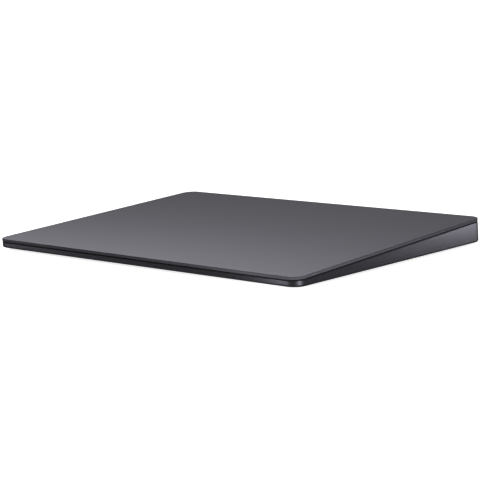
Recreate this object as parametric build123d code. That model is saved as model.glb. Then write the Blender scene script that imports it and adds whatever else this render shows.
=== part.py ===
from build123d import *

import math
import os

# A wireless trackpad in the form of a low wedge. A glass touch plate, tilted towards the
# user, floats on four force sensors inside a machined housing that stands on four feet.
# Frame: X to the right, Y from the thin front edge to the thick rear edge, Z up from the
# desk, with the origin on the desk under the middle of the outline. All lengths are mm.
# A "drop" is a depth square to the touch surface, counted down from it.

# Overall form
width = 160.0
slope_depth = 114.5
front_height = 4.9
tilt_degrees = 3.0
corner_radius = 5.0
wall = 1.8
underside_height = 1.2
underside_radius = 0.8
cut_overrun = 3.0

# Counts of sides that keep what is small and repeated light
round_sides = 12
pin_sides = 8

# Floating plate, from the touch surface down
glass_thickness = 1.1
glass_edge_radius = 0.25
glass_lower_chamfer = 0.1
ink_thickness = 0.1
ink_inset = 1.2
sensor_thickness = 0.4
sensor_side_gap = 0.8
stiffener_thickness = 0.5
stiffener_inset = 3.4
stiffener_radius = 4.0
press_travel = 0.2
buzz_travel = 0.15
moving_gap = 0.05

# Seam between plate and housing
seam_gap = 0.5
gasket_inset = 0.35
gasket_width = 0.7

# Housing floor, cover and feet
cover_thickness = 0.5
cover_inset = 2.0
cover_clearance = 0.15
adhesive_thickness = 0.1
adhesive_inset = 0.6
web_thickness = 0.5
foot_radius = 5.5
foot_recess = 0.2
foot_clearance = 0.15
foot_side_inset = 12.0
foot_end_inset = 10.0

# Screws, all of one size
screw_radius = 0.7
screw_head_radius = 1.4
screw_head_height = 0.5
screw_socket_radius = 0.55
screw_socket_depth = 0.3
screw_grip = 0.7
screw_tap_gap = 0.04
boss_radius = 2.2

# Force sensors: a steel leaf with a tongue cut free on three sides
leaf_length = 18.0
leaf_depth = 12.0
leaf_thickness = 0.4
leaf_corner_cut = 1.2
tongue_length = 10.0
tongue_depth = 6.4
tongue_slot = 0.8
leaf_inner_margin = 2.2
leaf_side_gap = 3.2
leaf_boss_height = 0.4
leaf_rear_gap = 9.45
leaf_screw_spacing = 7.2
leaf_screw_inset = 2.5
leaf_screw_window_gap = 0.55
gel_thickness = 0.4
gel_length = 5.6
gel_corner_cut = 0.6
gel_end_margin = 0.4
gauge_length = 2.4
gauge_depth = 3.0
gauge_thickness = 0.08
gauge_root_gap = 0.3

# Ribbons from the gauges to the logic board
ribbon_width = 2.4
ribbon_thickness = 0.12
ribbon_wall_gap = 0.5
ribbon_rise_length = 1.6
ribbon_board_lap = 3.0
ribbon_board_gap = 1.0

# Bumpers that stop the plate
stop_radius = 1.5
stop_thickness = 0.4
stop_side_inset = 7.2
stop_leaf_gap = 6.0
stop_wall_gap = 2.0
stop_front_side_inset = 48.2

# Click actuator, parallel to the plate
actuator_shift = 4.0
actuator_boss_height = 0.15
bracket_length = 40.0
bracket_depth = 24.0
bracket_thickness = 0.4
bracket_corner_cut = 1.5
bracket_screw_inset = 2.6
core_bar_length = 4.0
core_screw_gap = 2.0
core_end_gap = 1.5
core_height = 1.5
pole_count = 4
pole_length = 12.0
pole_depth = 2.2
pole_height = 0.7
coil_side_gap = 0.6
coil_length = 9.6
coil_end_gap = 0.5
coil_bore_gap = 0.1
coil_corner_cut = 0.4
air_gap_left = 0.2
rail_length = 3.0
rail_end_gap = 1.0
rail_bracket_length = 11.0
rail_bracket_lap = 0.8
rail_bracket_thickness = 0.3
rail_bracket_corner_cut = 0.8
rail_screw_inset = 2.2

# Logic board
board_port_drop = 1.3
board_thickness = 0.8
board_leaf_gap = 3.0
board_core_depth = 21.1
board_end_depth = 7.6
board_rear_gap = 0.35
board_side_gap = 0.8
board_front_screw_inset = 4.0
board_end_screw_gap = 0.75
chip_height = 0.9
small_part_height = 0.5
shield_height = 1.7
shield_sheet = 0.2

# Battery
battery_side_gap = 4.2
battery_board_gap = 2.5
battery_actuator_gap = 1.5
battery_corner_radius = 2.0
battery_edge_cut = 0.5
battery_window_gap = 0.3
tape_inset = 2.0
guard_length = 40.0
guard_depth = 1.4
guard_height = 3.0
guard_lift = 0.6
guard_gap = 0.2
lead_width = 5.0
lead_thickness = 0.2

# Connectors on the logic board
battery_plug_length = 6.4
battery_plug_depth = 3.0
battery_plug_height = 1.0
battery_plug_inset = 1.0
touch_plug_length = 12.0
touch_plug_depth = 3.0
touch_plug_height = 0.9
touch_plug_inset = 10.0
gauge_plug_length = 3.0
gauge_plug_depth = 1.6
gauge_plug_height = 0.8
touch_ribbon_width = 10.0
touch_ribbon_reach = 5.0
touch_ribbon_bend = 0.3
ribbon_bend_share = 0.45
plug_window_gap = 1.5

# Touch controller under the sensor board
touch_shield_length = 36.0
touch_shield_depth = 14.0
touch_shield_height = 0.9
touch_shield_sheet = 0.15
touch_chip_height = 0.55
touch_shield_plug_gap = 6.7
touch_window_gap = 1.0

# Charging port
port_rise = 4.3
shell_width = 8.94
shell_height = 3.26
shell_sheet = 0.3
shell_length = 7.3
shell_recess = 0.3
port_wall_gap = 0.12
port_board_gap = 0.3
tongue_width = 6.69
tongue_thickness = 0.7
tongue_setback = 0.6
moulding_length = 2.2
moulding_gap = 0.02
contact_count = 12
contact_pitch = 0.5
contact_width = 0.28
contact_length = 3.4
contact_thickness = 0.04
contact_setback = 0.35
strap_sheet = 0.3
strap_depth = 4.0
strap_foot_length = 3.6
strap_setback = 0.8

# Power switch
switch_side_inset = 18.0
switch_travel = 2.6
bezel_length = 9.0
bezel_height = 3.4
bezel_rim = 0.5
bezel_recess = 1.0
bezel_wall_gap = 0.05
slider_length = 5.0
slider_side_gap = 0.2
slider_floor_gap = 0.1
slider_setback = 0.25
slider_edge_cut = 0.15
grip_count = 3
grip_pitch = 0.8
grip_width = 0.3
grip_depth = 0.15
stem_length = 1.2
stem_height = 0.8
stem_reach = 1.5
stem_lift = 0.3
stem_gap = 0.15
patch_thickness = 0.04
patch_gap = 0.1
switch_body_length = 6.7
switch_body_depth = 2.8
switch_body_height = 1.6
switch_body_setback = 0.3

# Antenna
carrier_depth = 6.0
carrier_plate_gap = 0.5
carrier_screw_gap = 1.2
carrier_end_gap = 1.6
carrier_sheet = 1.0
antenna_thickness = 0.08
antenna_track = 1.2
antenna_inset = 0.6

# Places and sizes of the chips, as shares of the logic board's middle part:
# centre from the left, centre from the front, length, depth
shielded_chip_shares = (
    (0.64, 0.45, 0.075, 0.38),
    (0.74, 0.52, 0.055, 0.24),
    (0.82, 0.38, 0.045, 0.23),
)
open_chip_shares = (
    (0.14, 0.62, 0.050, 0.26),
    (0.24, 0.70, 0.040, 0.20),
    (0.35, 0.76, 0.055, 0.16),
)
small_part_shares = (
    (0.060, 0.50, 0.020, 0.05),
    (0.060, 0.62, 0.020, 0.05),
    (0.060, 0.74, 0.020, 0.05),
    (0.185, 0.45, 0.030, 0.09),
    (0.185, 0.86, 0.016, 0.05),
    (0.220, 0.86, 0.016, 0.05),
    (0.290, 0.86, 0.016, 0.05),
    (0.290, 0.60, 0.016, 0.05),
    (0.920, 0.35, 0.030, 0.10),
    (0.920, 0.55, 0.020, 0.05),
    (0.920, 0.65, 0.020, 0.05),
    (0.640, 0.86, 0.030, 0.09),
    (0.720, 0.86, 0.016, 0.05),
    (0.760, 0.86, 0.016, 0.05),
)
shield_shares = (0.725, 0.46, 0.30, 0.56)
touch_chip_shares = (
    (0.26, 0.50, 0.20, 0.50),
    (0.56, 0.50, 0.24, 0.58),
    (0.82, 0.42, 0.10, 0.26),
)
battery_plug_share = 0.13
touch_plug_share = 0.31

# Depths of the layers, worked out from the sizes above
slope = math.radians(tilt_degrees)
sensor_drop = glass_thickness + ink_thickness
stiffener_drop = sensor_drop + sensor_thickness
gel_drop = stiffener_drop + stiffener_thickness
leaf_drop = gel_drop + gel_thickness
boss_drop = leaf_drop + leaf_thickness
rim_drop = glass_thickness + seam_gap
gasket_drop = glass_thickness + press_travel + moving_gap
stop_drop = gel_drop + press_travel + moving_gap

# Outline heights and depths
rear_height = front_height + slope_depth * math.sin(slope)
round_height = underside_height + underside_radius
rear_bulge = underside_radius + (
    (rear_height - round_height) * math.sin(slope) - underside_radius
) / math.cos(slope)
total_depth = slope_depth * math.cos(slope) + rear_bulge
front_y = -total_depth / 2
middle_y = front_y + slope_depth * math.cos(slope) / 2
middle_height = front_height + slope_depth * math.sin(slope) / 2
inner_side = width / 2 - wall
inner_end = slope_depth / 2 - wall

# Underside outline
floor_front = front_y + (front_height - underside_height) * math.tan(slope)
floor_rear = (
    front_y
    + slope_depth * math.cos(slope)
    + (rear_height - underside_height) * math.tan(slope)
)
floor_depth = floor_rear - floor_front
floor_y = (floor_front + floor_rear) / 2
cover_top = underside_height + cover_thickness
web_bottom = cover_top + adhesive_thickness
web_top = web_bottom + web_thickness

# Depths of the actuator, which rests on low bosses at its front edge
bracket_front_v = -actuator_shift - bracket_depth / 2
actuator_boss_drop = (
    middle_height
    + bracket_front_v * math.sin(slope)
    - web_top
    - actuator_boss_height
) / math.cos(slope)
bracket_drop = actuator_boss_drop - bracket_thickness
core_drop = bracket_drop - core_height
pole_drop = core_drop + (core_height - pole_height) / 2
rail_drop = gel_drop + rail_bracket_thickness

# Height of the openings in the rear wall and of the logic board
port_height = underside_height + port_rise
board_bottom = port_height - board_port_drop
switch_centre_x = switch_side_inset - width / 2

# Tools for every piece
deck_normal = Vector(0, -math.sin(slope), math.cos(slope))
rear_normal = Vector(0, math.cos(slope), math.sin(slope))
deck_axis = Axis((0, 0, 0), deck_normal)


def deck(drop=0):
    """Return the plane that lies a drop below the touch surface, with Y up the slope."""
    middle = (0, middle_y, middle_height)
    return Plane(middle, x_dir=(1, 0, 0), z_dir=deck_normal).offset(-drop)


def slab(outline, top_drop, bottom_drop):
    """Return a layer parallel to the touch surface between two drops."""
    return extrude(deck(bottom_drop) * outline, bottom_drop - top_drop)


def layer(outline, bottom, top):
    """Return a level layer between two heights."""
    return extrude(Plane.XY.offset(bottom) * outline, top - bottom)


def above(height):
    """Return the space above a height, wide enough for every cut."""
    reach = width + slope_depth
    return Pos(0, 0, height + reach / 2) * Box(reach, reach, reach)


def post(outline, top_drop):
    """Return a post square to the plate, from the housing's web up to a drop."""
    return slab(outline, top_drop, 2 * rear_height) & above(web_bottom)


def slope_place(y, height):
    """Return how far up the slope, from its middle, a point in the frame lies."""
    across = (y - middle_y) * math.cos(slope)
    return across + (height - middle_height) * math.sin(slope)


def deck_v(height, drop):
    """Return how far up the slope the layer at a drop reaches a height."""
    return (height - middle_height + drop * math.cos(slope)) / math.sin(slope)


def deck_height(y, drop):
    """Return the height above the desk of the layer at a drop, at a place along Y."""
    rise = (y - middle_y) * math.tan(slope)
    return middle_height + rise - drop / math.cos(slope)


def wall_y(height, inset=0):
    """Return Y on the rear wall's outer face, or inset from it, at a height."""
    top_y = middle_y + (slope_depth / 2 - inset) * math.cos(slope)
    top_height = middle_height + (slope_depth / 2 - inset) * math.sin(slope)
    return top_y + (top_height - height) * math.tan(slope)


def rear_plane(x, height):
    """Return a plane on the rear wall, facing out, with its X to the left of the frame."""
    origin = (x, wall_y(height), height)
    return Plane(origin, x_dir=(-1, 0, 0), z_dir=rear_normal)


def plate_outline(inset=0):
    """Return the outline of the touch surface, drawn in by an inset."""
    radius = corner_radius - inset
    return RectangleRounded(width - 2 * inset, slope_depth - 2 * inset, radius)


def cover_outline(inset=0):
    """Return the bottom cover's outline on the level, drawn in by an inset."""
    edge = cover_inset + inset
    shape = RectangleRounded(
        width - 2 * edge, floor_depth - 2 * edge, corner_radius - edge
    )
    return Pos(0, floor_y) * shape


def dots(places, radius):
    """Return a circle at each place."""
    return Sketch() + [Pos(*place) * Circle(radius) for place in places]


def facet_dots(places, radius, sides=round_sides):
    """Return a small round section with few sides at each place."""
    return Sketch() + [Pos(*place) * RegularPolygon(radius, sides) for place in places]


def screw_holes(places):
    """Return the sections of the holes that the screws' shanks pass through."""
    return facet_dots(places, screw_radius + screw_tap_gap, pin_sides)


def cut_corners(length, depth, cut):
    """Return a rectangle whose corners are cut off at an angle."""
    return chamfer(Rectangle(length, depth).vertices(), cut)


def pan_screw(seat, grip):
    """Return a socket screw: its head sits on a place and its shank goes below it."""
    head = extrude(seat * RegularPolygon(screw_head_radius, round_sides), screw_head_height)
    shank = extrude(seat * RegularPolygon(screw_radius, pin_sides), -grip)
    mouth = seat * Pos(0, 0, screw_head_height)
    socket = extrude(
        mouth * RegularPolygon(screw_socket_radius, 6), -screw_socket_depth
    )
    return head + shank - socket


# Places of the force sensors, the bumpers and the feet
leaf_x = inner_side - leaf_side_gap - leaf_length / 2
leaf_front_edge_v = max(
    deck_v(web_top + leaf_boss_height, boss_drop),
    stop_leaf_gap + stop_radius + stop_wall_gap - inner_end,
)
leaf_front_v = leaf_front_edge_v + leaf_depth / 2
leaf_rear_v = inner_end - leaf_rear_gap - leaf_depth / 2
corners = {
    "front_left": (-1, leaf_front_v),
    "front_right": (1, leaf_front_v),
    "rear_left": (-1, leaf_rear_v),
    "rear_right": (1, leaf_rear_v),
}
tongue_root = leaf_length / 2 - (
    leaf_length - leaf_inner_margin - tongue_slot - tongue_length
)
tongue_tip = tongue_root - tongue_length
leaf_screw_x = leaf_length / 2 - leaf_screw_inset
foot_x = width / 2 - foot_side_inset - underside_height
foot_reach = floor_depth / 2 - foot_end_inset - underside_height
stop_side_x = inner_side - stop_side_inset
stop_front_v = leaf_front_edge_v - stop_leaf_gap
stop_front_x = inner_side - stop_front_side_inset
stop_places = [
    (-stop_side_x, 0),
    (stop_side_x, 0),
    (-stop_front_x, stop_front_v),
    (stop_front_x, stop_front_v),
]


def leaf_frame(side, v):
    """Return the place of a force sensor, with X from its middle to the near side wall."""
    return Pos(side * leaf_x, v) * Rot(0, 0, 90 - 90 * side)


def every_leaf(outline):
    """Return one outline repeated at each of the four force sensors."""
    return Sketch() + [leaf_frame(side, v) * outline for side, v in corners.values()]


def span(start, end, depth):
    """Return a rectangle from a start to an end along X, centred on the X axis."""
    return Pos((start + end) / 2, 0) * Rectangle(end - start, depth)


def leaf_screw_places():
    """Return the screw places of every force sensor on the plate."""
    return [
        (side * (leaf_x + leaf_screw_x), v + way * leaf_screw_spacing / 2)
        for side, v in corners.values()
        for way in (-1, 1)
    ]


def tongue_window():
    """Return the opening under a tongue and the slots round it."""
    return span(tongue_tip - tongue_slot, tongue_root, tongue_depth + 2 * tongue_slot)


def force_flexure(side, v):
    """Return a steel leaf whose tongue carries a corner of the plate."""
    tongue = span(tongue_tip, tongue_root, tongue_depth)
    outline = cut_corners(leaf_length, leaf_depth, leaf_corner_cut)
    outline = outline - tongue_window() + tongue
    outline -= screw_holes(
        [(leaf_screw_x, way * leaf_screw_spacing / 2) for way in (-1, 1)]
    )
    return slab(leaf_frame(side, v) * outline, leaf_drop, boss_drop)


def gel_pad(side, v):
    """Return the soft pad between a tongue's free end and the stiffener."""
    centre = tongue_tip + gel_end_margin + gel_length / 2
    shape = Pos(centre, 0) * cut_corners(gel_length, gel_length, gel_corner_cut)
    return slab(leaf_frame(side, v) * shape, gel_drop, leaf_drop)


def strain_gauges():
    """Return the gauges near the roots of the four tongues."""
    end = tongue_root - gauge_root_gap
    shape = span(end - gauge_length, end, gauge_depth)
    return slab(every_leaf(shape), leaf_drop - gauge_thickness, leaf_drop)


def flexure_screws():
    """Return the screws that hold the leaves on their bosses."""
    grip = leaf_thickness + screw_grip
    return Part() + [
        pan_screw(deck(leaf_drop) * Pos(*place), grip) for place in leaf_screw_places()
    ]


# Places of the actuator, battery and logic board
bracket_screw_x = bracket_length / 2 - bracket_screw_inset
bracket_screw_places = [
    (
        way_x * bracket_screw_x,
        way_y * (bracket_depth / 2 - bracket_screw_inset) - actuator_shift,
    )
    for way_x in (-1, 1)
    for way_y in (-1, 1)
]
board_top = board_bottom + board_thickness
board_rear = wall_y(board_top, wall) - board_rear_gap
board_front = board_rear - board_core_depth
board_end_front = board_rear - board_end_depth
board_end_x = inner_side - board_side_gap
board_core_length = 2 * (leaf_x - leaf_length / 2 - board_leaf_gap)
switch_body_end = -switch_centre_x - switch_body_length / 2
board_end_screw_x = switch_body_end - board_end_screw_gap - screw_head_radius
board_screw_places = [
    (way * x, y)
    for way in (-1, 1)
    for x, y in (
        (
            board_core_length / 2 - board_front_screw_inset,
            board_front + board_front_screw_inset,
        ),
        (board_end_screw_x, board_rear - board_end_depth / 2),
    )
]
battery_front = (
    middle_y
    + (bracket_front_v + bracket_depth) * math.cos(slope)
    + actuator_boss_drop * math.sin(slope)
    + battery_actuator_gap
)
battery_rear = board_front - battery_board_gap
battery_length = 2 * (inner_side - battery_side_gap)
battery_depth = battery_rear - battery_front
battery_y = (battery_front + battery_rear) / 2
battery_top = (
    deck_height(battery_front, stiffener_drop + touch_shield_height + press_travel)
    - moving_gap
)


def board_place(x_share, y_share):
    """Return a place on the board's middle part from its shares of length and depth."""
    return Pos(
        (x_share - 1 / 2) * board_core_length, board_front + y_share * board_core_depth
    )


def board_patch(shares):
    """Return a rectangle on the board from its four shares."""
    x_share, y_share, length_share, depth_share = shares
    shape = Rectangle(length_share * board_core_length, depth_share * board_core_depth)
    return board_place(x_share, y_share) * shape


# Housing


def housing_shell():
    """Return the tub: square walls, level underside with a round edge, thin web."""
    outer = slab(plate_outline(), rim_drop, 2 * rear_height) & above(underside_height)
    underside = outer.faces().sort_by(Axis.Z)[0]
    outer = fillet(underside.edges(), underside_radius)
    cavity = slab(plate_outline(wall), -cut_overrun, 2 * rear_height) & above(web_top)
    cover_pocket = layer(
        cover_outline(-cover_clearance), underside_height - cut_overrun, web_bottom
    )
    return outer - cavity - cover_pocket


def housing_bosses():
    """Return the bosses and posts that stand on the web."""
    leaf_block = cut_corners(leaf_length, leaf_depth, leaf_corner_cut)
    bosses = post(every_leaf(leaf_block), boss_drop)
    bosses += post(facet_dots(bracket_screw_places, boss_radius), actuator_boss_drop)
    bosses += post(facet_dots(stop_places, stop_radius), stop_drop + stop_thickness)
    board_posts = facet_dots(board_screw_places, boss_radius)
    return bosses + layer(board_posts, web_bottom, board_bottom)


def battery_window():
    """Return the outline of the opening in the web for the battery."""
    gap = battery_window_gap
    shape = cut_corners(
        battery_length + 2 * gap, battery_depth + 2 * gap, battery_corner_radius / 2
    )
    return Pos(0, battery_y) * shape


def web_windows():
    """Return the cuts through the web: under the battery and under each tongue."""
    tongue_cuts = slab(every_leaf(tongue_window()), -cut_overrun, 2 * rear_height)
    battery_cut = layer(battery_window(), web_bottom - cut_overrun, web_top)
    return battery_cut + (tongue_cuts & above(web_bottom - cut_overrun))


def tapped_holes():
    """Return the screw holes in the housing's bosses."""
    depth = screw_grip + screw_tap_gap
    holes = slab(screw_holes(leaf_screw_places()), leaf_drop, boss_drop + depth)
    holes += slab(
        screw_holes(bracket_screw_places), bracket_drop, actuator_boss_drop + depth
    )
    board_holes = screw_holes(board_screw_places)
    return holes + layer(board_holes, board_bottom - depth, board_top)


def rear_openings():
    """Return the cuts in the rear wall for the charging port and the power switch."""
    port = SlotOverall(shell_width + 2 * port_wall_gap, shell_height + 2 * port_wall_gap)
    port_cut = extrude(
        port_plane(wall_y(port_height) + cut_overrun) * port, -2 * cut_overrun - wall
    )
    switch = SlotOverall(
        bezel_length + 2 * bezel_wall_gap, bezel_height + 2 * bezel_wall_gap
    )
    switch_cut = extrude(switch_plane(cut_overrun) * switch, -2 * cut_overrun - wall)
    return port_cut + switch_cut


def housing():
    """Return the housing in one piece."""
    body = housing_shell() + housing_bosses()
    return body - web_windows() - tapped_holes() - rear_openings()


def foot_places():
    """Return the place of each foot on the underside."""
    return {
        "foot_front_left": (-foot_x, floor_y - foot_reach),
        "foot_front_right": (foot_x, floor_y - foot_reach),
        "foot_rear_left": (-foot_x, floor_y + foot_reach),
        "foot_rear_right": (foot_x, floor_y + foot_reach),
    }


def bottom_cover():
    """Return the cover plate with a round recess for each foot."""
    plate = layer(cover_outline(), underside_height, cover_top)
    recesses = layer(
        dots(foot_places().values(), foot_radius + foot_clearance),
        underside_height - cut_overrun,
        underside_height + foot_recess,
    )
    return plate - recesses


def cover_adhesive():
    """Return the adhesive sheet between cover and web, open under the web's windows."""
    outline = cover_outline(adhesive_inset) - battery_window()
    sheet = layer(outline, cover_top, web_bottom)
    return sheet - slab(every_leaf(tongue_window()), boss_drop, 2 * rear_height)


def foot(place):
    """Return a rubber foot let into the cover."""
    return layer(dots([place], foot_radius), 0, underside_height + foot_recess)


def seam_gasket():
    """Return the foam ring on the housing's rim that darkens the seam."""
    ring = plate_outline(gasket_inset) - plate_outline(gasket_inset + gasket_width)
    return slab(ring, gasket_drop, rim_drop)


def travel_stops():
    """Return the rubber bumpers that the plate meets at the end of a press."""
    outline = facet_dots(stop_places, stop_radius)
    return slab(outline, stop_drop, stop_drop + stop_thickness)


# Floating plate


def touch_glass():
    """Return the glass with its rounded upper edge and small lower chamfer."""
    glass = slab(plate_outline(), 0, glass_thickness)
    top = glass.faces().sort_by(deck_axis)[-1]
    glass = fillet(top.edges(), glass_edge_radius)
    under = glass.faces().sort_by(deck_axis)[0]
    return chamfer(under.edges(), glass_lower_chamfer)


def glass_adhesive():
    """Return the black ink and bonding film behind the glass."""
    return slab(plate_outline(ink_inset), glass_thickness, sensor_drop)


def sensor_board():
    """Return the board with the touch electrodes."""
    outline = plate_outline(wall + sensor_side_gap)
    return slab(outline, sensor_drop, stiffener_drop)


def touch_window_place():
    """Return the place of the touch controller on the plate, in front of the plug."""
    plug_v = touch_plug_place().position.Y
    gap = touch_plug_depth / 2 + touch_shield_plug_gap + touch_shield_depth / 2
    return Pos(0, plug_v - gap)


def touch_plug_place():
    """Return the place of the ribbon's plug under the sensor board."""
    y = board_front + touch_plug_inset - touch_ribbon_reach
    v = slope_place(y, board_top)
    return Pos((touch_plug_share - 1 / 2) * board_core_length, v)


def stiffener_plate():
    """Return the metal plate with its windows and screw clearance holes."""
    edge = wall + sensor_side_gap + stiffener_inset
    outline = RectangleRounded(
        width - 2 * edge, slope_depth - 2 * edge, stiffener_radius
    )
    window_radius = screw_head_radius + buzz_travel + leaf_screw_window_gap
    outline -= facet_dots(leaf_screw_places(), window_radius)
    outline -= touch_window_place() * cut_corners(
        touch_shield_length + 2 * touch_window_gap,
        touch_shield_depth + 2 * touch_window_gap,
        touch_window_gap,
    )
    outline -= touch_plug_place() * cut_corners(
        touch_plug_length + 2 * plug_window_gap,
        touch_plug_depth + 2 * plug_window_gap,
        plug_window_gap,
    )
    outline -= screw_holes(rail_screw_places)
    return slab(outline, stiffener_drop, gel_drop)


def touch_controller_chips():
    """Return the chips under the sensor board."""
    chips = Sketch() + [
        Pos(
            (x - 1 / 2) * touch_shield_length,
            (y - 1 / 2) * touch_shield_depth,
        )
        * Rectangle(length * touch_shield_length, depth * touch_shield_depth)
        for x, y, length, depth in touch_chip_shares
    ]
    bottom = stiffener_drop + touch_chip_height
    return slab(touch_window_place() * chips, stiffener_drop, bottom)


def touch_shield():
    """Return the sheet can over the touch controller's chips."""
    outer = Rectangle(touch_shield_length, touch_shield_depth)
    sheet = 2 * touch_shield_sheet
    inner = Rectangle(touch_shield_length - sheet, touch_shield_depth - sheet)
    bottom = stiffener_drop + touch_shield_height
    can = slab(touch_window_place() * outer, stiffener_drop, bottom)
    hollow = slab(
        touch_window_place() * inner,
        stiffener_drop - cut_overrun,
        bottom - touch_shield_sheet,
    )
    return can - hollow


def flex_connector():
    """Return the plug for the ribbon under the sensor board."""
    shape = touch_plug_place() * Rectangle(touch_plug_length, touch_plug_depth)
    return slab(shape, stiffener_drop, stiffener_drop + touch_plug_height)


# Click actuator

core_bar_end = screw_head_radius + core_screw_gap - bracket_screw_x
core_depth = bracket_depth - 2 * core_end_gap
rail_depth = bracket_depth - 2 * rail_end_gap
pole_start = core_bar_end + core_bar_length
pole_end = pole_start + pole_length
rail_start = pole_end + buzz_travel + air_gap_left
rail_bracket_start = rail_start - rail_bracket_lap
rail_screw_x = rail_bracket_start + rail_bracket_length - rail_screw_inset
rail_screw_places = [
    (rail_screw_x, way * (rail_depth / 2 - rail_screw_inset) - actuator_shift)
    for way in (-1, 1)
]
pole_pitch = (core_depth + coil_side_gap) / pole_count
coil_depth = pole_pitch - coil_side_gap
pole_places = [
    (number - (pole_count - 1) / 2) * pole_pitch - actuator_shift
    for number in range(pole_count)
]


def actuator_bracket():
    """Return the plate that carries the magnet core on the wedge bosses."""
    outline = Pos(0, -actuator_shift) * cut_corners(
        bracket_length, bracket_depth, bracket_corner_cut
    )
    outline -= screw_holes(bracket_screw_places)
    return slab(outline, bracket_drop, actuator_boss_drop)


def actuator_core():
    """Return the comb core: a bar with one pole for each coil."""
    bar = Pos(0, -actuator_shift) * span(core_bar_end, pole_start, core_depth)
    poles = Sketch() + [
        Pos(0, v) * span(pole_start, pole_end, pole_depth) for v in pole_places
    ]
    comb = slab(bar, core_drop, core_drop + core_height)
    return comb + slab(poles, pole_drop, pole_drop + pole_height)


def actuator_coil(v):
    """Return a coil round a pole, as one wound block with its bore."""
    seat = deck(core_drop + core_height / 2) * Pos(pole_start + coil_end_gap, v)
    bore_gap = 2 * coil_bore_gap
    ring = cut_corners(core_height, coil_depth, coil_corner_cut)
    ring -= Rectangle(pole_height + bore_gap, pole_depth + bore_gap)
    return extrude(seat * Rot(0, 90, 0) * ring, coil_length)


def actuator_screws():
    """Return the screws of the actuator's bracket."""
    grip = bracket_thickness + screw_grip
    return Part() + [
        pan_screw(deck(bracket_drop) * Pos(*place), grip)
        for place in bracket_screw_places
    ]


def attraction_rail():
    """Return the iron rail that the poles pull, an air gap away from them."""
    shape = Pos(0, -actuator_shift) * span(
        rail_start, rail_start + rail_length, rail_depth
    )
    return slab(shape, rail_drop, pole_drop + pole_height)


def rail_bracket():
    """Return the plate between the rail and the stiffener."""
    centre = rail_bracket_start + rail_bracket_length / 2
    outline = Pos(centre, -actuator_shift) * cut_corners(
        rail_bracket_length, rail_depth, rail_bracket_corner_cut
    )
    outline -= screw_holes(rail_screw_places)
    return slab(outline, gel_drop, rail_drop)


def rail_screws():
    """Return the screws that hold the rail's bracket to the stiffener from below."""
    grip = rail_drop - stiffener_drop
    return Part() + [
        pan_screw(deck(rail_drop) * Pos(*place) * Rot(180, 0, 0), grip)
        for place in rail_screw_places
    ]


# Battery


def battery_cell():
    """Return the flat pouch cell with its soft edges."""
    shape = Pos(0, battery_y) * RectangleRounded(
        battery_length, battery_depth, battery_corner_radius
    )
    cell = layer(shape, web_bottom, battery_top)
    return chamfer(cell.faces().sort_by(Axis.Z)[-1].edges(), battery_edge_cut)


def battery_tape():
    """Return the tape that holds the cell to the cover."""
    shape = Pos(0, battery_y) * Rectangle(
        battery_length - 2 * tape_inset, battery_depth - 2 * tape_inset
    )
    return layer(shape, cover_top, web_bottom)


def guard_y():
    """Return the middle of the battery's protection board."""
    return battery_rear + guard_gap + guard_depth / 2


def battery_protection_board():
    """Return the small board that stands at the cell's rear edge."""
    x = (battery_plug_share - 1 / 2) * board_core_length
    bottom = web_top + guard_lift
    shape = Pos(x, guard_y()) * Rectangle(guard_length, guard_depth)
    return layer(shape, bottom, bottom + guard_height)


def battery_lead():
    """Return the short flat lead from the protection board to the battery plug."""
    x = (battery_plug_share - 1 / 2) * board_core_length
    bottom = web_top + guard_lift + guard_height
    start = guard_y() - guard_depth / 2
    end = board_front + battery_plug_inset
    shape = Pos(x, (start + end) / 2) * Rectangle(lead_width, end - start)
    return layer(shape, bottom, bottom + lead_thickness)


# Logic board


def logic_board():
    """Return the board with its notch for the charging port and its screw holes."""
    end_y = (board_end_front + board_rear) / 2
    core_y = (board_front + board_rear) / 2
    outline = Pos(0, core_y) * Rectangle(board_core_length, board_core_depth)
    ends = Pos(0, end_y) * Rectangle(2 * board_end_x, board_end_depth)
    inside = RectangleRounded(2 * board_end_x, slope_depth, corner_radius - wall)
    outline = (outline + ends) & (Pos(0, board_rear - slope_depth / 2) * inside)
    mouth = port_mouth_y()
    notch_width = shell_width + 2 * port_board_gap
    notch_depth = board_rear - (mouth - shell_length) + port_board_gap
    notch = Rectangle(notch_width, 2 * notch_depth)
    outline -= Pos(0, board_rear) * notch
    outline -= screw_holes(board_screw_places)
    return layer(outline, board_bottom, board_top)


def logic_chips():
    """Return the chips and small parts on the board."""
    chips = Sketch() + [
        board_patch(shares) for shares in shielded_chip_shares + open_chip_shares
    ]
    small = Sketch() + [board_patch(shares) for shares in small_part_shares]
    parts = layer(chips, board_top, board_top + chip_height)
    return parts + layer(small, board_top, board_top + small_part_height)


def logic_shield():
    """Return the sheet can over the radio and the processor."""
    x_share, y_share, length_share, depth_share = shield_shares
    length = length_share * board_core_length
    depth = depth_share * board_core_depth
    place = board_place(x_share, y_share)
    top = board_top + shield_height
    can = layer(place * Rectangle(length, depth), board_top, top)
    inner = Rectangle(length - 2 * shield_sheet, depth - 2 * shield_sheet)
    return can - layer(place * inner, board_top - cut_overrun, top - shield_sheet)


def battery_plug_outline():
    """Return the battery plug's outline on the board."""
    x = (battery_plug_share - 1 / 2) * board_core_length
    y = board_front + battery_plug_inset + battery_plug_depth / 2
    return Pos(x, y) * Rectangle(battery_plug_length, battery_plug_depth)


def touch_plug_outline():
    """Return the outline of the touch ribbon's plug on the board."""
    x = (touch_plug_share - 1 / 2) * board_core_length
    y = board_front + touch_plug_inset
    return Pos(x, y) * Rectangle(touch_plug_length, touch_plug_depth)


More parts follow.
